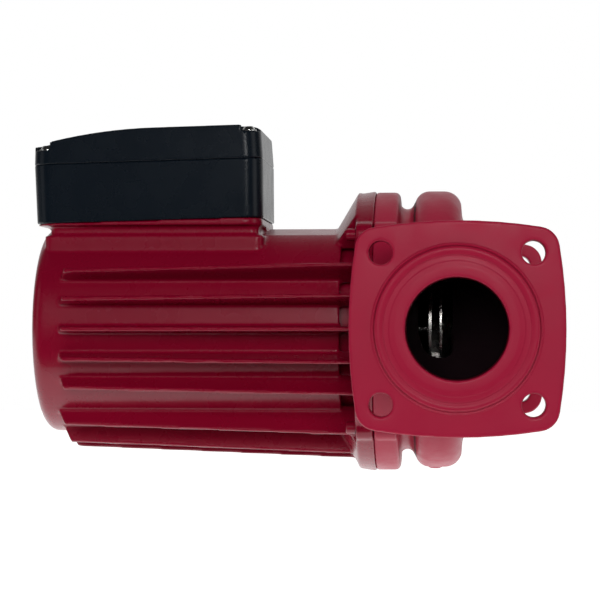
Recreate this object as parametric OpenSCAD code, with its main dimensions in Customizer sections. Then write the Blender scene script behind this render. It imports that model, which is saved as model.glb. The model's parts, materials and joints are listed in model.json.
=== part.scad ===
// In-line circulator pump with two square port flanges, a finned wet-rotor motor
// and a terminal box. The port axis runs along Y and the motor axis along X.
// The origin is the centre of the inlet port face. All sizes are in millimetres.

/* [Ports] */
// Distance between the two port faces
port_l = 250; // [245:1:260]
// Radius of the port bores
port_r = 27.3; // [25:0.1:27.5]
// Hole to hole distance of the square bolt pattern
bolt_pitch = 80.2; // [78:0.1:82]
// Radius of a flange bolt hole
bolt_hole_r = 6.35; // [5:0.05:6.6]
// Half width of a flange at the middle of a side
flange_half = 57.1; // [56:0.1:60]
// Radius of the flange corners
flange_corner_r = 11.5; // [9:0.5:13]
// Thickness of the flange plate
flange_t = 14; // [10:0.5:15]
// Height of the raised gasket face above the plate
face_h = 3; // [2:0.5:4]
// Outer radius of the raised gasket face
face_r = 43.8; // [42:0.1:45]

/* [Pump housing] */
// Motor side plane of the pump housing, where it meets the motor
joint_x = -46.5; // [-47:0.1:-46]
// Radius of the clamped rim
rim_r = 80.9; // [80:0.1:82]
// Thickness of the clamped rim
rim_t = 13.8; // [13:0.1:14]
// Drop of the clamped rims below the motor axis
rim_drop = 1.2; // [0:0.1:2]
// Largest radius of the volute
volute_r = 80.3; // [79:0.1:82]
// Wall thickness of the volute
volute_wall = 4.8; // [4:0.1:6]
// Radius of the suction bowl in front of the impeller eye
bowl_r = 38.5; // [37:0.1:40]
// Far end of the suction bowl
bowl_x = 50.5; // [49:0.5:54]

/* [Motor] */
// Radius of the motor barrel
barrel_r = 60; // [59.5:0.1:61]
// Far end of the motor barrel
barrel_x = -240.2; // [-241:0.1:-239.5]
// Radius of the rounded edge at the far end of the barrel
barrel_edge_r = 7; // [5:0.5:8]
// Inner radius of the barrel
barrel_bore_r = 56; // [55.5:0.1:56.5]
// End of the barrel wall next to the ventilation gap
barrel_end_x = -65.5; // [-67:0.5:-65]
// Motor side face of the clamped motor flange
motor_flange_x = -56.8; // [-58:0.1:-56]
// Fin height above the barrel at the far end
fin_h_far = 9.2; // [7:0.1:10]
// Fin height above the barrel at the pump end
fin_h_near = 15.6; // [13:0.1:16]
// Angle between neighbouring fins on the sides
fin_pitch = 14.4; // [13:0.1:15]
// Angle between neighbouring fins underneath
under_fin_pitch = 19; // [17:0.5:20]
// Distance of the clamping screws from their centre
clamp_r = 76.3; // [75.5:0.1:77]
// Radius of the lugs that hold the clamping screws
lug_r = 7; // [6.5:0.1:8]

/* [Rotor] */
// Radius of the impeller
impeller_r = 57; // [54:0.5:58]
// Number of impeller vanes
vane_n = 6; // [5:1:7]
// Radius of the rotor core
rotor_r = 31.6; // [31:0.1:31.7]
// Inner radius of the rotor can
can_r = 32.2; // [32:0.1:32.3]
// Number of stator slots
slot_n = 24; // [18:6:24]

/* [Terminal box] */
// Length of the box along the motor
box_l = 131; // [130:0.5:132]
// Width of the box
box_w = 86; // [84:1:90]
// Height of the box base
base_h = 33.8; // [32:0.1:36]
// Height of the box with its lid
box_h = 53; // [52:0.5:56]
// Tilt of the box seat, rising towards the pump
box_tilt = 1.5; // [1:0.1:2]
// Corner radius of the box
box_corner_r = 10; // [8:0.5:12]
// Wall thickness of the box
box_wall = 3; // [2.5:0.1:3.5]
// Height of the low end of the box seat above the motor axis
seat_z = 60.2; // [59.5:0.1:61]
// Far end of the box
box_x = -241.2; // [-241.5:0.1:-240.5]
// Radius of the passage for a cable through the gland
cable_r = 5; // [4:0.1:5.5]

/* [Hidden] */

axis_y = -port_l / 2;
clear = 0.3;
cut = 1;
fine = 96;
medium = 48;
small = 32;

red = "crimson";
black = [0.10, 0.12, 0.15];
steel = [0.72, 0.73, 0.75];
zinc = [0.80, 0.80, 0.82];
rubber = [0.08, 0.08, 0.08];
ceramic = [0.93, 0.92, 0.88];
copper = [0.75, 0.42, 0.22];

// ---- Frames -------------------------------------------------------------

// Children are drawn about local Z, which becomes the motor axis.
module on_axis() translate([0, axis_y, 0]) rotate([0, 90, 0]) children();

// Solid of revolution about the motor axis from [radius, x] points.
module revolve(points) on_axis() rotate_extrude($fn = fine) polygon(points);

// Disc on the motor axis between two x values.
module disc(x0, x1, r, fn = fine) on_axis() translate([0, 0, x0]) cylinder(h = x1 - x0, r = r, $fn = fn);

// Ring on the motor axis between two x values.
module ring(x0, x1, r_out, r_in) difference() {
    disc(x0, x1, r_out);
    disc(x0 - cut, x1 + cut, r_in);
}

// Children drawn towards -Y turn about the motor axis: 0 stays, 90 points up.
module spoke(a) translate([0, axis_y, 0]) rotate([-a, 0, 0]) children();

// Cylinder along Y between two y values.
module along_y(x, y0, y1, z, r, fn = medium) translate([x, y0, z]) rotate([-90, 0, 0])
    cylinder(h = y1 - y0, r = r, $fn = fn);

// Cylinder along X, at an angle and a radius about the dropped rim centre.
module at_clamp(a, x0, x1, r, fn = small) translate([0, 0, -rim_drop]) spoke(a)
    translate([x0, -clamp_r, 0]) rotate([0, 90, 0]) cylinder(h = x1 - x0, r = r, $fn = fn);

clamp_angles = [45, 135, 225, 315];

// ---- Port flanges -------------------------------------------------------

corner_c = flange_half - 3.4 - flange_corner_r;
side_k = corner_c - flange_half;
side_r = (pow(flange_corner_r, 2) - pow(corner_c, 2) - pow(side_k, 2)) / (2 * (flange_corner_r + side_k));
side_a = atan2(side_k + side_r, corner_c);

function arc(cx, cy, r, a0, a1, n) = [for (i = [0 : n])
    [cx + r * cos(a0 + (a1 - a0) * i / n), cy + r * sin(a0 + (a1 - a0) * i / n)]];
function turned(p, a) = [p[0] * cos(a) - p[1] * sin(a), p[0] * sin(a) + p[1] * cos(a)];

// One quarter of the outline: a rounded corner, then a bulged side.
flange_quarter = concat(
    arc(corner_c, corner_c, flange_corner_r, 90 - side_a, side_a, 7),
    [for (i = [1 : 7]) arc(0, flange_half - side_r, side_r, side_a, 180 - side_a, 8)[i]]);
flange_outline = [for (k = [0 : 3]) each [for (p = flange_quarter) turned(p, 90 * k)]];

// Ring profile as [radius, depth below the gasket face].
face_profile = concat([[0, face_h + cut], [0, 0], [33.2, 0], [34, 0.3], [38.4, 0.8], [39.6, 0.8], [40.2, 0.3]],
    arc(face_r - 2, 2, 2, -110, 0, 6), [[face_r, face_h + cut]]);

// Flange with its gasket face at the local origin and the plate towards +Z.
module port_flange() {
    translate([0, 0, face_h]) linear_extrude(flange_t) polygon(flange_outline);
    rotate_extrude($fn = fine) polygon(face_profile);
}

module bolt_holes() for (x = [-bolt_pitch / 2, bolt_pitch / 2], z = [-bolt_pitch / 2, bolt_pitch / 2]) {
    along_y(x, -port_l - cut, -port_l + face_h + flange_t + 6, z, bolt_hole_r);
    along_y(x, -face_h - flange_t - 6, cut, z, bolt_hole_r);
}

// ---- Pump housing -------------------------------------------------------

groove_x = -28.7;
volute_x0 = -24.6;
volute_x1 = 3;
neck_r = port_r + 6;
throat_y = axis_y - 86;
suction_y = -18;
bend_y = axis_y + 74;
bend_l = 36;
register_r = 66;
plate_seat_x = -42;

// Clamped rim as [radius, x], with a rounded edge towards the volute.
rim_outline = concat([[0, joint_x], [rim_r - 0.8, joint_x], [rim_r, joint_x + 0.8]],
    arc(rim_r - 3, joint_x + rim_t - 3, 3, 0, 90, 5),
    [[0, joint_x + rim_t]]);

// Body as [radius, x]: neck groove, volute bulge, eye cover and suction bowl.
housing_outline = concat([[0, joint_x + 5], [75, joint_x + 5]],
    arc(74, groove_x, 4.1, 262, 98, 8),
    arc(volute_r - 8.3, volute_x0 + 8.6, 8.3, -82, 0, 7),
    arc(volute_r - 10, volute_x1 - 10.2, 10, 0, 75, 6),
    [[66, volute_x1], [60, volute_x1 + 1.5], [52, volute_x1 + 3.5], [45, volute_x1 + 7], [bowl_r + 1, 17]],
    [[bowl_r, 22]],
    arc(bowl_r - 12, bowl_x - 12, 12, 0, 90, 6),
    [[0, bowl_x]]);

// Space for the bearing plate, the impeller and the volute channel.
chamber_outline = concat(
    [[0, joint_x - cut], [register_r, joint_x - cut], [register_r, plate_seat_x], [63, plate_seat_x]],
    [[63, -22.5], [66, -20.5]],
    arc(volute_r - volute_wall - 6, -13.5, 6, -60, 0, 4),
    arc(volute_r - volute_wall - 6, -8.5, 6, 0, 70, 4),
    [[62, -2], [57.5, -3.5], [45, -2], [33, 1.5], [29.5, 2.5], [29.5, 9], [25, 9], [25, 11.5], [0, 11.5]]);

bowl_space = concat([[0, 11], [25, 11], [bowl_r - 5.5, 12], [bowl_r - 4.5, 14]],
    arc(bowl_r - 12, bowl_x - 12, 7.5, 0, 90, 4), [[0, bowl_x - 4.5]]);

// Thin slab with an oval outline across Y, dx long and two rz high.
module oval_slab(x_mid, y0, dx, rz) translate([x_mid, y0, 0]) rotate([-90, 0, 0])
    linear_extrude(4) polygon([for (i = [0 : 23]) [dx / 2 * cos(i * 15), rz * sin(i * 15)]]);

module discharge_neck() {
    along_y(0, -port_l + face_h + 4, throat_y + 12, 0, neck_r);
    hull() {
        along_y(0, throat_y - 2, throat_y, 0, neck_r - 0.4, small);
        translate([volute_x0 + 4, axis_y - 56, -24]) cube([volute_x1 - volute_x0 + 2, 6, 54]);
    }
}

module suction_neck() {
    along_y(0, suction_y - 8, -face_h - 4, 0, neck_r);
    hull() {
        along_y(0, suction_y - 6, suction_y - 4, 0, neck_r - 0.4, small);
        oval_slab(26.5, bend_y, bend_l + 11, neck_r + 1.5);
    }
    hull() {
        oval_slab(26.5, bend_y, bend_l + 11, neck_r + 1.5);
        oval_slab(28, axis_y + 14, 38, bowl_r - 1);
    }
}

module discharge_space() {
    along_y(0, -port_l - cut, throat_y, 0, port_r);
    hull() {
        along_y(0, throat_y - 1, throat_y, 0, port_r - 0.5, small);
        translate([-19.5, axis_y - 60, 0]) cube([17, 2, 25]);
    }
    translate([-19.5, axis_y - 60.5, 0]) cube([17, 24, 25]);
}

module suction_space() {
    along_y(0, suction_y, cut, 0, port_r);
    hull() {
        along_y(0, suction_y - 1, suction_y + 1, 0, port_r - 0.5, small);
        oval_slab(26.5, bend_y, bend_l, port_r + 2);
    }
    hull() {
        oval_slab(26.5, bend_y, bend_l, port_r + 2);
        oval_slab(28, axis_y + 14, 26, bowl_r - 6);
    }
}

module pump_housing() color(red) difference() {
    union() {
        revolve(housing_outline);
        translate([0, 0, -rim_drop]) revolve(rim_outline);
        for (a = clamp_angles) at_clamp(a, joint_x + 0.4, joint_x + rim_t - 1, lug_r);
        translate([0, -port_l, 0]) rotate([-90, 0, 0]) port_flange();
        rotate([90, 0, 0]) port_flange();
        discharge_neck();
        suction_neck();
        casting_pip();
    }
    revolve(chamber_outline);
    revolve(bowl_space);
    discharge_space();
    suction_space();
    bolt_holes();
    for (a = clamp_angles) at_clamp(a, joint_x - cut, joint_x + rim_t - 2.5, 2.55);
}

// Small pip left where the metal was poured, at the lowest point of the volute.
module casting_pip() translate([-12.8, axis_y, -volute_r - 0.9])
    cylinder(h = 6, r = 3.4, $fn = small);

// ---- Rotor and bearings -------------------------------------------------

back_x = -14.2;
shroud_t = 1.5;
eye_r = 24.4;
shaft_r = 6;
ring_r = 26.5;
cone_x0 = -14;
cone_x1 = -1;
sleeve_r = 14.2;
core_x0 = -192;
core_x1 = -92;
rear_bearing_x = -226.8;
front_bearing_x = -80;

module neck_ring() color(steel) ring(2.7, 8.8, 29.4, ring_r);

// Outer face of the front shroud as [radius, x].
front_shroud = [[impeller_r, -8.4], [47, -7.2], [37, -3.6], [30, -0.6], [ring_r - clear, 1.6], [ring_r - clear, 8.4]];

// One vane: a band between two arcs that sweep backwards from the eye to the rim.
vane_points = concat([for (i = [0 : 8]) vane_point(i / 8, 0)], [for (i = [8 : -1 : 0]) vane_point(i / 8, 1)]);
function vane_point(t, side) = let (r = 19 + (impeller_r - 19.3) * t, a = 62 * t + side * 110 / r) [r * cos(a), r * sin(a)];

module impeller() color(steel) difference() {
    union() {
        disc(back_x - shroud_t, back_x, impeller_r);
        disc(back_x - 3, cone_x1 - 1, 10.5, medium);
        revolve(concat(front_shroud, [[eye_r, 8.4], [eye_r, 1], [29, -1.9], [36.3, -4.9], [46.7, -8.6], [impeller_r, -9.6]]));
        intersection() {
            on_axis() for (i = [0 : vane_n - 1]) rotate([0, 0, i * 360 / vane_n])
                translate([0, 0, back_x - 0.5]) linear_extrude(20) polygon(vane_points);
            revolve([[0, back_x - 0.5], [impeller_r - 0.2, back_x - 0.5], [impeller_r - 0.2, -9.2],
                [46.9, -8.1], [36.6, -4.4], [29.4, -1.4], [22, -3], [0, -8]]);
        }
    }
    revolve([[0, back_x - 4], [7.2, back_x - 4], [7.2, cone_x0], [8.4, cone_x1], [8.4, 2], [0, 2]]);
}

module split_cone() color(steel) difference() {
    revolve([[shaft_r, cone_x0], [7.2, cone_x0], [8.4, cone_x1], [8.4, cone_x1 + 0.6], [shaft_r, cone_x1 + 0.6]]);
    translate([cone_x0 - cut, axis_y - 0.5, 0]) cube([20, 1, 12]);
}

module impeller_nut() color(steel) difference() {
    disc(cone_x1 + 0.6, 6.2, 9.6, 6);
    disc(cone_x1, 7, shaft_r, medium);
}

module shaft() color(steel) revolve([[0, -224.5], [shaft_r - 0.8, -224.5], [shaft_r, -223.7], [shaft_r, 6.8],
    [shaft_r - 0.8, 7.6], [0, 7.6]]);

// Laminated core with an end ring at each side and a thin sleeve over both.
module rotor_core() color(steel) difference() {
    union() {
        disc(core_x0, core_x1, rotor_r);
        disc(core_x0 - 6, core_x0, rotor_r - 3);
        disc(core_x1, core_x1 + 0.2, rotor_r - 3);
    }
    disc(core_x0 - 8, core_x1 + 8, shaft_r, medium);
}

module thrust_retainer() color(rubber) revolve([[shaft_r, core_x1 + 0.4], [14, core_x1 + 0.4], [14.6, core_x1 + 1.2],
    [14.6, -84], [13.1, -84], [13.1, -86.6], [shaft_r, -86.6]]);

module thrust_bearing() color(black) ring(-86.6, -80.4, 13, shaft_r + 0.8);

module bearing_sleeve(x0, len) difference() {
    revolve([[shaft_r + 0.05, x0], [sleeve_r - 0.6, x0], [sleeve_r, x0 + 0.6], [sleeve_r, x0 + len - 0.6],
        [sleeve_r - 0.6, x0 + len], [shaft_r + 0.05, x0 + len]]);
    for (a = [0, 120, 240]) on_axis() rotate([0, 0, a]) translate([shaft_r, 0, x0 - cut])
        cylinder(h = len + 2 * cut, r = 0.9, $fn = small);
}

module front_bearing() color(ceramic) bearing_sleeve(front_bearing_x, 18);

module rear_bearing() color(ceramic) bearing_sleeve(rear_bearing_x, 12.6);

module bearing_plate() color(steel) difference() {
    union() {
        disc(joint_x + 0.1, joint_x + 3.2, register_r - 0.2);
        disc(front_bearing_x, joint_x + 1, 18, medium);
        revolve([[18, joint_x - 12], [24, joint_x + 0.2], [24, joint_x + 1], [18, joint_x + 1]]);
    }
    disc(front_bearing_x - cut, front_bearing_x + 18, sleeve_r + 0.02, medium);
    disc(front_bearing_x, joint_x + 5, shaft_r + 1, medium);
    for (a = [30 : 60 : 330]) spoke(a) translate([joint_x - cut, -44, 0]) rotate([0, 90, 0])
        cylinder(h = 6, r = 2.2, $fn = small);
}

can_wall = 0.6;
can_flange_x = -48.4;
can_end_x = -214;

module rotor_can() color(steel) difference() {
    union() {
        disc(can_flange_x, can_flange_x + 1.2, 60);
        disc(can_end_x - 0.8, can_flange_x + 1, can_r + can_wall);
        disc(rear_bearing_x - 1.2, can_end_x, sleeve_r + 1);
    }
    disc(can_end_x, can_flange_x + 3, can_r);
    disc(rear_bearing_x - 0.2, can_end_x + 1, sleeve_r + 0.02, medium);
    disc(rear_bearing_x - 3, rear_bearing_x, vent_hole_r, medium);
}

module housing_gasket() color(rubber) ring(joint_x + 3.3, plate_seat_x, register_r - 0.3, 63.4);

module socket_screw(len, head_r, head_h, shank_r, key_r) difference() {
    union() {
        cylinder(h = head_h - 0.5, r = head_r, $fn = small);
        translate([0, 0, head_h - 0.5]) cylinder(h = 0.5, r1 = head_r, r2 = head_r - 0.5, $fn = small);
        translate([0, 0, -len]) cylinder(h = len + 0.5, r = shank_r, $fn = small);
    }
    translate([0, 0, head_h * 0.4]) cylinder(h = head_h, r = key_r, $fn = 6);
}

module housing_screws() color(red) for (a = clamp_angles) translate([0, 0, -rim_drop]) spoke(a)
    translate([motor_flange_x, -clamp_r, 0]) rotate([0, -90, 0]) socket_screw(19, 3.4, 5.2, 2.5, 1.9);

// ---- Motor housing ------------------------------------------------------

end_recess_r = 46;
end_recess_x = barrel_x + 4;
end_wall_x = -228.2;
vent_hole_r = 5.3;
front_fin_x = -224;
under_fin_x = -228.5;
front_fin_angles = [-2 * fin_pitch : fin_pitch : 2 * fin_pitch];
under_fin_angles = [for (i = [-2 : 2]) -90 + i * under_fin_pitch];
roof_z = 58.7;
roof_edge_z = 54;

barrel_outline = concat([[0, barrel_x]],
    arc(barrel_r - barrel_edge_r, barrel_x + barrel_edge_r, barrel_edge_r, -90, 0, 6),
    [[barrel_r, barrel_end_x], [0, barrel_end_x]]);

// The top of the barrel is a low roof of two flats, which meet over the motor axis.
module barrel() intersection() {
    slope = (roof_z - roof_edge_z) / sqrt(pow(barrel_r, 2) - pow(roof_edge_z, 2));
    revolve(barrel_outline);
    translate([barrel_x - cut, axis_y, 0]) rotate([90, 0, 90]) linear_extrude(barrel_end_x - barrel_x + 2 * cut)
        polygon([[-80, -80], [80, -80], [80, roof_z - 80 * slope], [0, roof_z], [-80, roof_z - 80 * slope]]);
}

// Straight fin that rises towards the pump, thinner at its tip, with a sloped far end.
module fin(a, x0, slope_l) spoke(a) intersection() {
    near_x = motor_flange_x + 1;
    tip = barrel_r + fin_h_near;
    translate([x0, 0, 0]) rotate([90, 0, 90]) linear_extrude(near_x - x0)
        polygon([[-56.5, -2], [-tip, -1], [-tip, 1], [-56.5, 2]]);
    translate([0, 0, -3]) linear_extrude(6)
        polygon([[x0, -56.5], [x0, -barrel_r + 1], [x0 + slope_l, -barrel_r - fin_h_far], [near_x, -tip], [near_x, -56.5]]);
}

// Cone sector that ties the barrel to the motor flange, centred on angle a.
module flange_web(a) spoke(a) intersection() {
    rotate([7, 0, 0]) revolve_here([[57, barrel_end_x - 4.8], [79.6, motor_flange_x], [79.6, motor_flange_x + 1],
        [57, motor_flange_x + 1]]);
    translate([barrel_end_x - 6, 0, 0]) rotate([90, 0, 90]) linear_extrude(18)
        polygon([[0, 0], [-90, -68], [-90, 68]]);
}

module revolve_here(points) rotate([0, 90, 0]) rotate_extrude($fn = fine) polygon(points);

// The box frame: local X runs along the box from its far end, Z is up from the seat.
module in_box() translate([box_x, axis_y, seat_z]) rotate([0, -box_tilt, 0]) children();

// Rounded rectangle from x = 0 to l, centred on Y.
module rounded(l, w, r) {
    translate([r, -w / 2]) square([l - 2 * r, w]);
    translate([0, -w / 2 + r]) square([l, w - 2 * r]);
    for (x = [r, l - r], y = [-w / 2 + r, w / 2 - r]) translate([x, y]) circle(r = r, $fn = medium);
}

// Outline of the box, drawn in evenly by inset.
module box_outline(inset, r = box_corner_r) translate([inset, 0])
    rounded(box_l - 2 * inset, box_w - 2 * inset, r);

lead_x = 35;
lead_l = 22;
lead_w = 20;
base_screw_x = [14, 112];
base_screw_y = 26;
rim_low_z = 59.1;
foot_z = 53.5;
foot_x = -236;
foot_l = 126.2;
foot_w = 81;

// Seat for the terminal box: a rim with a level lower edge, an undercut, and a wider foot on the barrel.
module pedestal() {
    intersection() {
        in_box() translate([0, 0, -8]) linear_extrude(8) box_outline(0.6);
        translate([box_x - 10, axis_y - box_w, rim_low_z]) cube([box_l + 20, 2 * box_w, 20]);
    }
    translate([foot_x, axis_y, 30]) linear_extrude(rim_low_z + 0.5 - 30) translate([3, 0]) rounded(foot_l - 6, foot_w - 4, 4);
    translate([foot_x, axis_y, 30]) linear_extrude(foot_z - 30) rounded(foot_l, foot_w, 4);
}

module stator_housing() color(red) difference() {
    union() {
        barrel();
        motor_flange();
        for (a = front_fin_angles) fin(a, front_fin_x, 3);
        for (a = front_fin_angles) fin(180 + a, front_fin_x, 3);
        for (a = under_fin_angles) fin(a, under_fin_x, 5);
        flange_web(90);
        flange_web(-90);
        pedestal();
    }
    disc(end_wall_x, barrel_end_x + 20, barrel_bore_r);
    disc(barrel_x - cut, end_recess_x, end_recess_r);
    disc(end_recess_x - cut, end_wall_x + cut, vent_hole_r - 0.25, medium);
    disc(can_flange_x - 0.1, joint_x + cut, 60.4);
    for (a = clamp_angles) at_clamp(a, motor_flange_x - cut, joint_x + cut, 2.8);
    in_box() translate([lead_x - lead_l / 2, -lead_w / 2, -20]) cube([lead_l, lead_w, 30]);
    in_box() for (x = base_screw_x, y = [-base_screw_y, base_screw_y]) translate([x, y, -9])
        cylinder(h = 10, r = 1.7, $fn = small);
    for (a = [20, 140, 260]) nameplate_hole(a, end_recess_x - cut, end_recess_x + 4, 1.2);
}

module nameplate_hole(a, x0, x1, r) spoke(a) translate([x0, -38, 0]) rotate([0, 90, 0])
    cylinder(h = x1 - x0, r = r, $fn = small);

module motor_flange() {
    translate([0, 0, -rim_drop]) revolve([[0, motor_flange_x], [rim_r - 1.8, motor_flange_x], [rim_r - 0.6, motor_flange_x + 1.2],
        [rim_r + 0.6, joint_x - 0.8], [rim_r, joint_x], [0, joint_x]]);
    for (a = clamp_angles) at_clamp(a, motor_flange_x + 0.4, joint_x - 0.4, lug_r);
}

stack_x0 = -190;
stack_x1 = -94;

module stator_core() color("slategray") difference() {
    disc(stack_x0, stack_x1, barrel_bore_r - 0.02);
    disc(stack_x0 - cut, stack_x1 + cut, can_r + can_wall + 0.2);
    on_axis() for (i = [0 : slot_n - 1]) rotate([0, 0, i * 360 / slot_n]) translate([36, -1.8, stack_x0 - cut])
        cube([12, 3.6, stack_x1 - stack_x0 + 2 * cut]);
}

// Copper bundles in the slots, joined by an end turn ring at each side.
module stator_windings() color(copper) {
    on_axis() for (i = [0 : slot_n - 1]) rotate([0, 0, i * 360 / slot_n]) translate([36.2, -1.6, stack_x0 - 3])
        cube([11.6, 3.2, stack_x1 - stack_x0 + 6]);
    end_turns(stack_x0 - 21, stack_x0 - 1.5);
    end_turns(stack_x1 + 1.5, stack_x1 + 21);
}

module end_turns(x0, x1) revolve(concat(arc(48, x1 - 5, 5, 0, 90, 3), arc(41, x1 - 5, 5, 90, 180, 3),
    arc(41, x0 + 5, 5, 180, 270, 3), arc(48, x0 + 5, 5, 270, 360, 3)));

module stator_end_shield() color(black) difference() {
    union() {
        disc(-68.6, -66, barrel_bore_r - 0.1);
        disc(-66.5, -57.2, 54, medium);
    }
    disc(-70, -56, can_r + can_wall + 0.15);
    disc(-65, -56, 51);
}

module nameplate_disc() color(steel) difference() {
    disc(end_recess_x - 1.2, end_recess_x, end_recess_r - 1);
    disc(barrel_x, end_recess_x + cut, vent_hole_r + 0.2, medium);
    for (a = [20, 140, 260]) nameplate_hole(a, end_recess_x - 2, end_recess_x + 1, 1.6);
}

vent_seat_x = end_recess_x - 1.2;

module vent_seal() color(rubber) revolve(concat(arc(6.5, vent_seat_x - 0.7, 0.65, 0, 315, 7)));

module vent_screw() color(zinc) difference() {
    union() {
        disc(vent_seat_x - 1.5, -227.6, 5, medium);
        revolve([[0, barrel_x + 0.2], [7.4, barrel_x + 0.2], [8, barrel_x + 0.8], [8, vent_seat_x - 1.4],
            [5, vent_seat_x - 1.4], [5, vent_seat_x], [0, vent_seat_x]]);
    }
    translate([barrel_x - cut, axis_y - 9, -0.9]) cube([1.7, 18, 1.8]);
}

// ---- Terminal box shell -------------------------------------------------

draft = 0.6;
lid_edge_x = [7.4, 124.2];
lid_edge_y = 37;
lid_seat = [42, 49.3];
pocket_r = 6.5;
arch_x = 70;
arch_r = 290;
entry_x = [70, 100];
entry_z = 17;
entry_y = 44;
thread_r = 10;
board_z = 9;
board_t = 1.6;
board_top = board_z + board_t;
board_post = [[20, -33], [20, 30], [106, -33], [106, 30]];

// Box outline that grows or shrinks evenly along its height.
module tapered_box(h, grow0, grow1) translate([box_l / 2, 0, 0])
    linear_extrude(h, scale = [(box_l + 2 * grow1) / (box_l + 2 * grow0), (box_w + 2 * grow1) / (box_w + 2 * grow0)])
        translate([-box_l / 2, 0]) box_outline(-grow0, box_corner_r);

module at_lid_screws() for (i = [0, 1], y = [-lid_edge_y, lid_edge_y]) translate([lid_edge_x[i], y, 0]) children();

module at_base_screws() for (x = base_screw_x, y = [-base_screw_y, base_screw_y]) translate([x, y, 0]) children();

module post(z0, z1, r) translate([0, 0, z0]) cylinder(h = z1 - z0, r = r, $fn = small);

module lead_slot(z0, z1, grow) translate([lead_x - lead_l / 2 - grow, -lead_w / 2 - grow, z0])
    cube([lead_l + 2 * grow, lead_w + 2 * grow, z1 - z0]);

module entry(x, y0, y1, r, fn = medium) translate([x, y0, entry_z]) rotate([-90, 0, 0])
    cylinder(h = y1 - y0, r = r, $fn = fn);

module box_seat_gasket() color(rubber) in_box() difference() {
    lead_slot(0.05, 1.2, 4);
    lead_slot(-cut, 3, 0.5);
}

module box_base() color(black) in_box() difference() {
    union() {
        difference() {
            tapered_box(base_h, 0, draft);
            translate([0, 0, box_wall]) linear_extrude(base_h) box_outline(box_wall, box_corner_r - box_wall);
        }
        intersection() {
            at_lid_screws() post(0.5, base_h - 0.1, 5);
            linear_extrude(base_h) box_outline(0.5);
        }
        for (p = board_post) translate([p[0], p[1], 0]) post(1, board_z, 3.4);
        for (x = entry_x) entry(x, box_w / 2 - 2, entry_y, 14.2);
    }
    lead_slot(-cut, 1.2, 4);
    lead_slot(0, 4, 0);
    at_lid_screws() post(base_h - 16, base_h + cut, 2.3);
    at_base_screws() post(-cut, 4, 1.9);
    for (p = board_post) translate([p[0], p[1], 0]) post(board_z - 6, board_z + cut, 1.25);
    for (x = entry_x) entry(x, box_w / 2 - 6, entry_y + cut, thread_r + 0.1);
}

module base_screws() color(zinc) in_box() at_base_screws() translate([0, 0, box_wall]) socket_screw(10, 3.4, 2.6, 1.6, 1.4);

module lid_gasket() color(rubber) in_box() translate([0, 0, base_h + 0.02]) linear_extrude(1.2) difference() {
    box_outline(0.8);
    box_outline(1.7, box_corner_r - 1.7);
}

// Side view of the lid as an area: a low arch that runs level towards the pump.
module lid_profile(z_low, z_top, grow) translate([0, box_w / 2 + 2, 0]) rotate([90, 0, 0]) linear_extrude(box_w + 4)
    polygon(concat([[-grow, z_low]], arc(arch_x, z_top - arch_r, arch_r, 90 + asin((arch_x + grow) / arch_r), 90, 10),
        [[box_l - 8, z_top], [box_l - 3, z_top - 0.9], [box_l - 0.6, z_top - 2.4], [box_l + grow, z_top - 4.6],
        [box_l + grow, z_low]]));

// Corner pocket around a lid screw, open to the outside.
module lid_pocket(i, y) {
    dx = i == 0 ? -1 : 1;
    dy = y < 0 ? -1 : 1;
    translate([lid_edge_x[i], y, 0]) {
        post(lid_seat[i], box_h + 4, pocket_r);
        translate([dx < 0 ? -12 : 0, dy < 0 ? -12 : 0, lid_seat[i]]) cube([12, 12, 20]);
        translate([dx < 0 ? -12 : 0, dy < 0 ? -pocket_r : 0, lid_seat[i]]) cube([12, pocket_r, 20]);
        translate([dx < 0 ? -pocket_r : 0, dy < 0 ? -12 : 0, lid_seat[i]]) cube([pocket_r, 12, 20]);
    }
}

module box_lid() color(black) in_box() difference() {
    union() {
        difference() {
            intersection() {
                translate([0, 0, base_h]) tapered_box(box_h - base_h + 1, draft, -0.3);
                lid_profile(base_h, box_h, 2);
            }
            intersection() {
                translate([0, 0, base_h - cut]) linear_extrude(30) box_outline(box_wall, box_corner_r - box_wall);
                lid_profile(base_h - cut, box_h - box_wall, 0);
            }
        }
        for (i = [0, 1], y = [-lid_edge_y, lid_edge_y]) intersection() {
            translate([lid_edge_x[i], y, 0]) post(base_h + 0.1, lid_seat[i], pocket_r + 2.5);
            linear_extrude(60) box_outline(0.5);
        }
    }
    for (i = [0, 1], y = [-lid_edge_y, lid_edge_y]) {
        lid_pocket(i, y);
        translate([lid_edge_x[i], y, 0]) post(base_h - cut, lid_seat[i] + cut, 2.2);
    }
    translate([0, 0, base_h - cut]) linear_extrude(cut + 1.22) difference() {
        box_outline(0.8);
        box_outline(1.7, box_corner_r - 1.7);
    }
}

// Domed washer-head screw that sits at the local origin.
module dome_screw(len, r, h, shank_r) difference() {
    union() {
        cylinder(h = 0.8, r = r, $fn = small);
        translate([0, 0, 0.8]) cylinder(h = h - 0.8, r1 = r - 0.6, r2 = r - 2, $fn = small);
        translate([0, 0, -len]) cylinder(h = len + 0.4, r = shank_r, $fn = small);
    }
    for (a = [0, 90]) rotate([0, 0, a]) translate([-1.9, -0.4, h - 1.2]) cube([3.8, 0.8, 2]);
}

module lid_screws() color(zinc) in_box() for (i = [0, 1], y = [-lid_edge_y, lid_edge_y])
    translate([lid_edge_x[i], y, lid_seat[i]]) dome_screw(lid_seat[i] - base_h + 12, 4.5, 2.8, 2);

// ---- Terminal box contents ----------------------------------------------

block_x = 94;
block_l = 16;
pole_pitch = 8.5;
pole_n = 6;
cap_x = 16;
cap_l = 44;
cap_r = 12;
cap_y = -23;
module_x = 56;
module_y = 5;
module_l = 32;
module_w = 29;
module_h = 12;
knob_x = module_x + module_l / 2;
knob_y = module_y + module_w / 2;
knob_z = board_top + module_h + 0.3;

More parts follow.
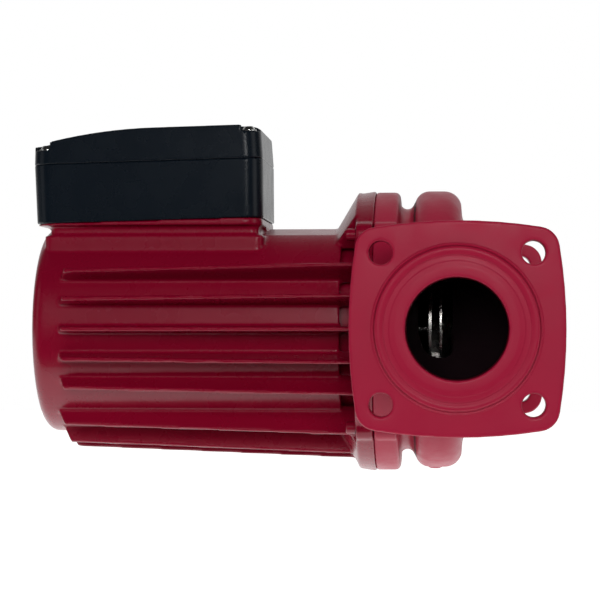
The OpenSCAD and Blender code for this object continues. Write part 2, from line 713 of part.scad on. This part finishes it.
module terminal_board() color("darkgreen") in_box() difference() {
    translate([12, -36.5, board_z]) cube([102, 70.5, board_t]);
    lead_slot(board_z - cut, board_top + cut, -1);
    for (p = board_post) translate([p[0], p[1], 0]) post(board_z - cut, board_top + cut, 1.5);
    translate([84, -27, 0]) post(board_z - cut, board_top + cut, 2);
}

module board_screws() color(zinc) in_box() for (p = board_post) translate([p[0], p[1], board_top])
    dome_screw(6, 2.8, 1.8, 1.2);

module terminal_block() color("gainsboro") in_box() difference() {
    translate([block_x, -pole_pitch * pole_n / 2, board_top]) cube([block_l, pole_pitch * pole_n, 13]);
    for (i = [0 : pole_n - 1]) {
        y = (i + 0.5 - pole_n / 2) * pole_pitch;
        translate([block_x + 5, y, 0]) post(board_top + 4, board_top + 20, 2.4);
        translate([block_x + 10, y - 2.6, board_top + 3]) cube([block_l, 5.2, 5.6]);
    }
}

module terminal_screws() color("darkkhaki") in_box() for (i = [0 : pole_n - 1])
    translate([block_x + 5, (i + 0.5 - pole_n / 2) * pole_pitch, board_top + 4.05]) difference() {
        cylinder(h = 5, r = 2.1, $fn = small);
        translate([-3, -0.4, 4]) cube([6, 0.8, 2]);
    }

module capacitor() color("gainsboro") in_box() translate([cap_x, cap_y, board_top + cap_r + 0.6]) rotate([0, 90, 0])
    rotate_extrude($fn = medium) polygon(concat([[0, 0]], arc(cap_r - 2, 2, 2, -90, 0, 4),
        [[cap_r, cap_l], [cap_r - 1, cap_l + 0.6], [cap_r - 1.6, cap_l - 0.8], [0, cap_l - 0.8]]));

module capacitor_clip() color(black) in_box() translate([cap_x + 18, cap_y, board_top]) difference() {
    union() {
        translate([0, 0, cap_r + 0.6]) rotate([0, 90, 0]) cylinder(h = 8, r = cap_r + 1.6, $fn = medium);
        translate([0, -cap_r - 1.4, 0]) cube([8, 2 * cap_r + 2.8, 8]);
    }
    translate([-cut, 0, cap_r + 0.6]) rotate([0, 90, 0]) cylinder(h = 12, r = cap_r + 0.02, $fn = medium);
    translate([-cut, -20, -10]) cube([20, 40, 10]);
}

module speed_module() color(black) in_box() difference() {
    translate([module_x, module_y, board_top]) cube([module_l, module_w, module_h]);
    translate([knob_x, knob_y, 0]) post(knob_z - 6, knob_z + cut, 3.05);
    for (a = [-60, 0, 60]) translate([knob_x, knob_y, 0]) rotate([0, 0, a]) translate([0, 13, 0])
        post(knob_z - 1, knob_z + cut, 0.8);
}

// Rotary selector with a finger bar and a pointer notch.
module speed_knob() color("darkorange") in_box() translate([knob_x, knob_y, knob_z]) difference() {
    union() {
        translate([0, 0, -5]) cylinder(h = 6, r = 3, $fn = small);
        cylinder(h = 2.4, r = 11, $fn = medium);
        translate([-2.6, -9.4, 0]) cube([5.2, 18.8, 8]);
    }
    translate([-0.6, 5, 7.2]) cube([1.2, 6, 2]);
}

module earth_screw() color("darkkhaki") in_box() translate([84, -27, board_top]) {
    dome_screw(4, 3.4, 2.6, 1.9);
    translate([0, 0, 0]) cylinder(h = 0.5, r = 4.4, $fn = small);
}

// Insulated leads from the end turns up through the seat to the terminal block.
module motor_leads() color("firebrick") in_box() for (i = [-1 : 1]) {
    y = 3.6 * i - 1.4;
    translate([lead_x, y, 0]) post(-8, board_top + 5.5, 1.3);
    translate([lead_x, y, board_top + 5.5]) sphere(r = 1.3, $fn = small);
    translate([lead_x, y, board_top + 5.5]) rotate([0, 90, 0]) cylinder(h = block_x - lead_x, r = 1.3, $fn = small);
}

// ---- Cable entries ------------------------------------------------------

gland_x = entry_x[1];

module gland_body() color(black) in_box() difference() {
    union() {
        entry(gland_x, entry_y + 0.02, entry_y + 5, 13.8, 6);
        entry(gland_x, box_w / 2 - 8, entry_y + 1, thread_r);
        entry(gland_x, entry_y + 4, entry_y + 11, thread_r - 1);
    }
    entry(gland_x, box_w / 2 - 9, entry_y + 12, 7.8);
}

module gland_locknut() color(steel) in_box() for (x = entry_x) difference() {
    entry(x, box_w / 2 - 6.4, box_w / 2 - box_wall - 0.02, 13, 6);
    entry(x, box_w / 2 - 7, box_w / 2, thread_r + 0.02);
}

module gland_seal() color(rubber) in_box() difference() {
    entry(gland_x, entry_y + 1, entry_y + 13, 7.7);
    entry(gland_x, entry_y, entry_y + 14, cable_r);
}

module gland_nut() color(black) in_box() difference() {
    union() {
        entry(gland_x, entry_y + 5.2, entry_y + 14, 12.6, 6);
        translate([gland_x, entry_y + 14, entry_z]) rotate([-90, 0, 0]) cylinder(h = 3, r1 = 11, r2 = 8.6, $fn = medium);
    }
    entry(gland_x, entry_y + 4, entry_y + 11.2, thread_r - 0.9);
    entry(gland_x, entry_y + 11, entry_y + 14, 7.8);
    entry(gland_x, entry_y + 13, entry_y + 18, cable_r + 1);
}

module blanking_plug() color(black) in_box() difference() {
    union() {
        entry(entry_x[0], entry_y + 0.02, entry_y + 3.5, 12.8);
        entry(entry_x[0], box_w / 2 - 8, entry_y + 1, thread_r);
    }
    entry(entry_x[0], box_w / 2 - 9, entry_y, thread_r - 2);
    translate([entry_x[0] - 8, entry_y + 2.4, entry_z - 1]) cube([16, 3, 2]);
}

pump_housing();
neck_ring();
impeller();
split_cone();
impeller_nut();
shaft();
rotor_core();
thrust_bearing();
thrust_retainer();
front_bearing();
rear_bearing();
bearing_plate();
rotor_can();
housing_gasket();
housing_screws();
stator_housing();
stator_core();
stator_windings();
stator_end_shield();
nameplate_disc();
vent_seal();
vent_screw();
box_seat_gasket();
box_base();
base_screws();
lid_gasket();
box_lid();
lid_screws();
terminal_board();
board_screws();
terminal_block();
terminal_screws();
capacitor();
capacitor_clip();
speed_module();
speed_knob();
earth_screw();
motor_leads();
gland_body();
gland_locknut();
gland_seal();
gland_nut();
blanking_plug();
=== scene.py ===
import json
import math
import bmesh
import bpy
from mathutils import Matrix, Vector


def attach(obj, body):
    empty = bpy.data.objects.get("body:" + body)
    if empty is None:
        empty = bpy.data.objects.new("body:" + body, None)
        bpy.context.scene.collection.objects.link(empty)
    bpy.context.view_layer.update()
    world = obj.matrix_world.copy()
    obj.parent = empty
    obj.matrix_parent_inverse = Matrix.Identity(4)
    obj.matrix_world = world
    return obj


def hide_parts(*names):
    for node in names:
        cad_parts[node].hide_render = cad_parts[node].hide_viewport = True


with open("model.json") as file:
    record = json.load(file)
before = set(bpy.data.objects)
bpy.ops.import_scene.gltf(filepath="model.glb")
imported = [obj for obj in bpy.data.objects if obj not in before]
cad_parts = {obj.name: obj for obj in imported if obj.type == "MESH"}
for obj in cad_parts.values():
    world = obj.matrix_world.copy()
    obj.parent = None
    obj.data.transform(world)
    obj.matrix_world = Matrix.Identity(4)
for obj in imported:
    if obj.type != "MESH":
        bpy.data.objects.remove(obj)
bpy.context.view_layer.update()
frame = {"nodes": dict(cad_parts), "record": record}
nodes = frame["nodes"]
scene = bpy.context.scene
scene.view_settings.view_transform = "Standard"

# Metres, in the row frame.
AXIS_Y = -0.125
HALF_PORT_L = 0.125
JOINT_X = -0.0465
CAMERA_AT = (0.0, -1.316, 0.0)
AIM_AT = (-0.092, -0.125, 0.017)
LENS = 122.0

# ---- Camera, floor and light ------------------------------------------------


def look_at(obj, target):
    direction = Vector(target) - obj.location
    obj.rotation_euler = direction.to_track_quat("-Z", "Y").to_euler()


camera = bpy.data.objects.new("camera", bpy.data.cameras.new("camera"))
scene.collection.objects.link(camera)
camera.location = CAMERA_AT
camera.data.lens = LENS
camera.data.sensor_width = 36.0
camera.data.clip_end = 20.0
look_at(camera, AIM_AT)
scene.camera = camera


# name: place, target, width and height, power in watts, seen in reflections
LIGHTS = {
    "front_fill": ((-0.2, -2.4, 0.7), (-0.1, -0.12, 0), (2.0, 1.4), 40, False),
    "port_glint": ((0.06, -1.28, 0.30), (0.0, -0.12, 0.0), (0.16, 0.16), 1.1, True),
    "top_softbox": ((-0.10, 0.35, 1.15), (-0.1, -0.12, 0), (1.3, 0.7), 4.5, False),
    "right_softbox": ((1.25, -0.75, 0.35), (0, -0.15, 0), (0.7, 1.1), 2, True),
    "left_softbox": ((-1.35, -0.7, 0.3), (-0.15, -0.12, 0), (0.6, 1.1), 0.8, True),
}
for name, (place, target, size, power, reflected) in LIGHTS.items():
    data = bpy.data.lights.new(name, "AREA")
    data.shape = "RECTANGLE"
    data.size, data.size_y = size
    data.energy = power
    light = bpy.data.objects.new(name, data)
    scene.collection.objects.link(light)
    light.location = place
    look_at(light, target)
    light.visible_glossy = reflected


def nodes_of(owner):
    owner.use_nodes = True
    tree = owner.node_tree
    tree.nodes.clear()
    return tree


def make_world():
    """White behind the object and dark towards the camera; the camera itself sees plain white."""
    world = bpy.data.worlds.new("studio")
    scene.world = world
    tree = nodes_of(world)
    add = tree.nodes.new
    link = tree.links.new
    coords = add("ShaderNodeTexCoord")
    split = add("ShaderNodeSeparateXYZ")
    link(coords.outputs["Generated"], split.inputs[0])
    ramp = add("ShaderNodeValToRGB")
    ramp.color_ramp.interpolation = "EASE"
    # 0 is straight towards -Y, where the camera stands; 1 is straight behind the object.
    stops = ramp.color_ramp.elements
    stops[0].position, stops[0].color = 0.62, (0.02, 0.02, 0.02, 1)
    stops[1].position, stops[1].color = 0.95, (0.75, 0.75, 0.75, 1)
    scale = add("ShaderNodeMapRange")
    scale.inputs["From Min"].default_value = -1.0
    link(split.outputs["Y"], scale.inputs["Value"])
    link(scale.outputs["Result"], ramp.inputs["Fac"])
    seen = add("ShaderNodeLightPath")
    mix = add("ShaderNodeMix")
    mix.data_type = "RGBA"
    link(seen.outputs["Is Camera Ray"], mix.inputs["Factor"])
    link(ramp.outputs["Color"], mix.inputs["A"])
    mix.inputs["B"].default_value = (1, 1, 1, 1)
    back = add("ShaderNodeBackground")
    link(mix.outputs["Result"], back.inputs["Color"])
    out = add("ShaderNodeOutputWorld")
    link(back.outputs[0], out.inputs[0])


make_world()

# ---- Finishes ---------------------------------------------------------------


def finish(name, colour, rough, metal=0.0, specular=0.5, coat=0.0, coat_rough=0.1,
           dark=0.75, mottle=60.0, rough_spread=0.08, grains=((1500.0, 0.10, 0.0002),)):
    """Procedural finish: mottled colour, uneven gloss, and one bump for each (scale, strength, depth) grain."""
    mat = bpy.data.materials.new(name)
    tree = nodes_of(mat)
    add = tree.nodes.new
    link = tree.links.new
    shader = add("ShaderNodeBsdfPrincipled")
    shader.inputs["Metallic"].default_value = metal
    shader.inputs["Specular IOR Level"].default_value = specular
    shader.inputs["Coat Weight"].default_value = coat
    shader.inputs["Coat Roughness"].default_value = coat_rough
    out = add("ShaderNodeOutputMaterial")
    link(shader.outputs[0], out.inputs[0])
    coords = add("ShaderNodeTexCoord")

    def cloud(scale, detail=3.0):
        noise_node = add("ShaderNodeTexNoise")
        noise_node.inputs["Scale"].default_value = scale
        noise_node.inputs["Detail"].default_value = detail
        link(coords.outputs["Object"], noise_node.inputs["Vector"])
        return noise_node.outputs["Fac"]

    ramp = add("ShaderNodeValToRGB")
    low, high = ramp.color_ramp.elements
    low.position, high.position = 0.35, 0.65
    low.color = (*(c * dark for c in colour), 1)
    high.color = (*colour, 1)
    link(cloud(mottle), ramp.inputs["Fac"])
    link(ramp.outputs["Color"], shader.inputs["Base Color"])

    gloss = add("ShaderNodeMapRange")
    gloss.inputs["From Min"].default_value = 0.3
    gloss.inputs["From Max"].default_value = 0.7
    gloss.inputs["To Min"].default_value = rough - rough_spread
    gloss.inputs["To Max"].default_value = rough + rough_spread
    link(cloud(mottle * 4), gloss.inputs["Value"])
    link(gloss.outputs["Result"], shader.inputs["Roughness"])

    normal = None
    for scale, strength, depth in grains:
        bump = add("ShaderNodeBump")
        bump.inputs["Strength"].default_value = strength
        bump.inputs["Distance"].default_value = depth
        link(cloud(scale, 2.0), bump.inputs["Height"])
        if normal:
            link(normal, bump.inputs["Normal"])
        normal = bump.outputs["Normal"]
    if normal:
        link(normal, shader.inputs["Normal"])
    return mat


ORANGE_PEEL = ((300.0, 0.04, 0.0004), (1100.0, 0.03, 0.0001))
CASTING = ((450.0, 0.12, 0.0004), (1500.0, 0.25, 0.0001))
MOULDED = ((2600.0, 0.12, 0.00006),)
FINE = ((4000.0, 0.10, 0.00005),)

finishes = {
    "pump_red": finish("pump_red_cast", (0.330, 0.008, 0.036), 0.42,
        specular=0.3, coat=0.05, coat_rough=0.2, dark=0.95, mottle=25.0, grains=CASTING),
    "motor_red": finish("motor_red", (0.200, 0.0010, 0.016), 0.28,
        specular=0.4, coat=0.1, coat_rough=0.1, dark=0.97, mottle=20.0, rough_spread=0.03, grains=ORANGE_PEEL),
    "stainless": finish("stainless", (0.62, 0.61, 0.58), 0.28, metal=1.0, dark=0.9, grains=FINE),
    "shaft_steel": finish("shaft_steel", (0.60, 0.60, 0.60), 0.22, metal=1.0, dark=0.92, grains=FINE),
    "rotor_steel": finish("rotor_steel", (0.45, 0.45, 0.45), 0.35, metal=1.0, grains=FINE),
    "lamination": finish("lamination", (0.25, 0.26, 0.28), 0.5, metal=0.8, grains=FINE),
    "copper": finish("copper", (0.60, 0.26, 0.10), 0.35, metal=0.9, grains=((1200.0, 0.5, 0.0004),)),
    "carbon": finish("carbon", (0.03, 0.03, 0.035), 0.4, grains=FINE),
    "ceramic": finish("ceramic", (0.82, 0.80, 0.74), 0.2, dark=0.95, grains=FINE),
    "seal_rubber": finish("seal_rubber", (0.018, 0.018, 0.018), 0.62, grains=MOULDED),
    "black_plastic": finish("black_plastic", (0.022, 0.023, 0.026), 0.45, grains=MOULDED),
    "box_black": finish("box_black", (0.0042, 0.0072, 0.0115), 0.27,
        specular=0.3, dark=0.9, mottle=20.0, rough_spread=0.03, grains=MOULDED),
    "gland_black": finish("gland_black", (0.013, 0.014, 0.016), 0.42, grains=MOULDED),
    "plate_aluminium": finish("plate_aluminium", (0.58, 0.59, 0.60), 0.36,
        metal=1.0, dark=0.97, rough_spread=0.02, grains=FINE),
    "plated": finish("plated", (0.72, 0.72, 0.70), 0.24, metal=1.0, dark=0.85, grains=FINE),
    "brass": finish("brass", (0.76, 0.56, 0.24), 0.28, metal=1.0, dark=0.85, grains=FINE),
    "board_green": finish("board_green", (0.018, 0.13, 0.055), 0.35, grains=FINE),
    "block_grey": finish("block_grey", (0.50, 0.51, 0.50), 0.42, dark=0.93, grains=MOULDED),
    "can_white": finish("can_white", (0.72, 0.72, 0.69), 0.35, dark=0.95, grains=MOULDED),
    "knob_orange": finish("knob_orange", (0.72, 0.20, 0.03), 0.38, dark=0.9, grains=MOULDED),
    "lead_red": finish("lead_red", (0.32, 0.02, 0.02), 0.45, dark=0.9, grains=MOULDED),
}
finishes["painted_screw"] = finishes["motor_red"]


# Height of the ring relief against distance from the port axis, from RINGS_FROM (0) to RINGS_TO (1).
RINGS_FROM = 0.028
RINGS_TO = 0.048
RING_LEVELS = ((0.37, 0.55), (0.41, 0.30), (0.53, 0.30), (0.56, 0.62),
               (0.77, 0.66), (0.80, 0.0), (0.84, 0.0), (0.88, 0.5))


def wet_iron_shade_and_rings(mat):
    """Near-black bare iron with painted shade on the water side, where the mask attribute is 1, and bump rings
    round the port axis.

    The rings are meant for the two port faces, but they aren't masked: any surface of the housing
    at the same distance from the port axis gets them.
    """
    tree = mat.node_tree
    add = tree.nodes.new
    link = tree.links.new
    shader = tree.nodes["Principled BSDF"]
    iron_and_shade = add("ShaderNodeAttribute")
    iron_and_shade.attribute_name = "iron_and_shade"
    mix = add("ShaderNodeMix")
    mix.data_type = "RGBA"
    link(iron_and_shade.outputs["Fac"], mix.inputs["Factor"])
    link(shader.inputs["Base Color"].links[0].from_socket, mix.inputs["A"])
    # Painted shade: the bare iron colour is taken down to near black, so the deep bore and volute read as
    # unlit.
    mix.inputs["B"].default_value = (0.006, 0.003, 0.004, 1)
    link(mix.outputs["Result"], shader.inputs["Base Color"])
    coords = add("ShaderNodeTexCoord")
    flat = add("ShaderNodeVectorMath")
    flat.operation = "MULTIPLY"
    link(coords.outputs["Object"], flat.inputs[0])
    flat.inputs[1].default_value = (1, 0, 1)
    radius = add("ShaderNodeVectorMath")
    radius.operation = "LENGTH"
    link(flat.outputs["Vector"], radius.inputs[0])
    scaled = add("ShaderNodeMapRange")
    scaled.inputs["From Min"].default_value = RINGS_FROM
    scaled.inputs["From Max"].default_value = RINGS_TO
    link(radius.outputs["Value"], scaled.inputs["Value"])
    rings = add("ShaderNodeValToRGB")
    levels = rings.color_ramp
    while len(levels.elements) > 1:
        levels.elements.remove(levels.elements[-1])
    levels.elements[0].position = 0.0
    levels.elements[0].color = (0.55, 0.55, 0.55, 1)
    for at, level in RING_LEVELS:
        levels.elements.new(at).color = (level, level, level, 1)
    link(scaled.outputs["Result"], rings.inputs["Fac"])
    bump = add("ShaderNodeBump")
    bump.inputs["Strength"].default_value = 1.0
    bump.inputs["Distance"].default_value = 0.0009
    link(rings.outputs["Color"], bump.inputs["Height"])
    link(shader.inputs["Normal"].links[0].from_socket, bump.inputs["Normal"])
    link(bump.outputs["Normal"], shader.inputs["Normal"])


wet_iron_shade_and_rings(finishes["pump_red"])
slot_of = {s["node"]: s["material_slot"] for s in frame["record"]["subparts"]}
body_of = {n: body for body, names in frame["record"]["behaviour"]["bodies"].items() for n in names}
for name, obj in nodes.items():
    obj.data.materials.clear()
    obj.data.materials.append(finishes[slot_of[name]])


# ---- Softened shapes --------------------------------------------------------
# Cast and moulded parts have rounded edges everywhere, so these pieces are smoothed copies of the CAD nodes.


WELD_DISTANCE = 1e-6
RELAX_FACTOR = 0.5


def soft_copy(node, voxel, passes, most_faces, name):
    """Copy of a CAD node with every edge rounded to about the voxel size."""
    mesh = nodes[node].data.copy()
    welded = bmesh.new()
    welded.from_mesh(mesh)
    bmesh.ops.remove_doubles(welded, verts=welded.verts, dist=WELD_DISTANCE)
    welded.to_mesh(mesh)
    welded.free()
    obj = bpy.data.objects.new(name, mesh)
    scene.collection.objects.link(obj)
    remesh = obj.modifiers.new("remesh", "REMESH")
    remesh.mode = "VOXEL"
    remesh.voxel_size = voxel
    remesh.use_smooth_shade = True
    relax = obj.modifiers.new("relax", "SMOOTH")
    relax.factor = RELAX_FACTOR
    relax.iterations = passes
    depsgraph = bpy.context.evaluated_depsgraph_get()
    faces = 2 * len(obj.evaluated_get(depsgraph).data.polygons)
    if faces > most_faces:
        thin = obj.modifiers.new("thin", "DECIMATE")
        thin.ratio = most_faces / faces
        depsgraph = bpy.context.evaluated_depsgraph_get()
    shape = bpy.data.meshes.new_from_object(obj.evaluated_get(depsgraph))
    obj.modifiers.clear()
    obj.data = shape
    for poly in shape.polygons:
        poly.use_smooth = True
    shape.materials.clear()
    shape.materials.append(finishes[slot_of[node]])
    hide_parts(node)
    return obj


# Limits of the water side, which is coloured as dark bare iron with painted shade. Radii are just outside the
# inner wall they stand for.
BORE_R = 0.0295
BORE_NEAR_Y = -0.200
BORE_FAR_Y = -0.030
THROAT_Y = -0.168
BOWL_R = 0.0348
BOWL_END_X = 0.0465
VOLUTE_R = 0.0757
VOLUTE_X = -0.0245
BACK_R = 0.0650
# The dark iron and painted shade start FADE_START behind each port face and reach full strength FADE_LENGTH
# further in.
FADE_START = 0.004
FADE_LENGTH = 0.016


def is_wet(x, y, z, normal_y):
    """True on the water side of the pump housing.

    The volute's limit is a little too wide: it also takes in a small patch outside, in the groove.
    """
    from_motor_axis = math.hypot(y - AXIS_Y, z)
    straight = y < BORE_NEAR_Y or y > BORE_FAR_Y or (y < THROAT_Y and normal_y < 0.3)
    bore = math.hypot(x, z) < BORE_R and straight
    bowl = from_motor_axis < BOWL_R and 0.0 < x < BOWL_END_X
    volute = from_motor_axis < VOLUTE_R and VOLUTE_X < x < 0.0
    back = from_motor_axis < BACK_R and JOINT_X < x <= VOLUTE_X
    return bore or bowl or volute or back


def mark_iron_and_shade(obj):
    """Vertex mask for the dark bare iron and painted shade: 1 on the water side, fading out towards the port
    faces.
    """
    values = []
    for vertex in obj.data.vertices:
        x, y, z = vertex.co
        depth = HALF_PORT_L - abs(y - AXIS_Y)
        fade = min(1.0, max(0.0, (depth - FADE_START) / FADE_LENGTH))
        values.append(fade if is_wet(x, y, z, vertex.normal.y) else 0.0)
    obj.data.attributes.new("iron_and_shade", "FLOAT", "POINT").data.foreach_set("value", values)


# node, voxel size, smoothing passes, most triangles
for node, voxel, passes, most_faces in (
        ("pump_housing", 0.0008, 3, 190000),
        ("stator_housing", 0.0009, 4, 190000),
        ("box_base", 0.0006, 2, 90000),
        ("box_lid", 0.0006, 2, 90000)):
    soft = soft_copy(node, voxel, passes, most_faces, node + "_soft")
    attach(soft, body_of[node])
    if node == "pump_housing":
        mark_iron_and_shade(soft)

# ---- Floor ------------------------------------------------------------------

FLOOR_Z = -0.30
FLOOR_FRONT = -0.45
FLOOR_REACH = 6
corners = [(-FLOOR_REACH, FLOOR_FRONT, FLOOR_Z), (FLOOR_REACH, FLOOR_FRONT, FLOOR_Z),
           (FLOOR_REACH, FLOOR_REACH, FLOOR_Z), (-FLOOR_REACH, FLOOR_REACH, FLOOR_Z)]
floor_mesh = bpy.data.meshes.new("floor")
floor_mesh.from_pydata(corners, [], [(0, 1, 2, 3)])
floor = bpy.data.objects.new("floor", floor_mesh)
scene.collection.objects.link(floor)
floor_white = finish("floor_white", (0.85, 0.85, 0.85), 0.8, dark=0.995, specular=0.0, grains=())
floor_shader = floor_white.node_tree.nodes["Principled BSDF"]
floor_shader.inputs["Emission Color"].default_value = (1, 1, 1, 1)
floor_shader.inputs["Emission Strength"].default_value = 1.0
floor_mesh.materials.append(floor_white)
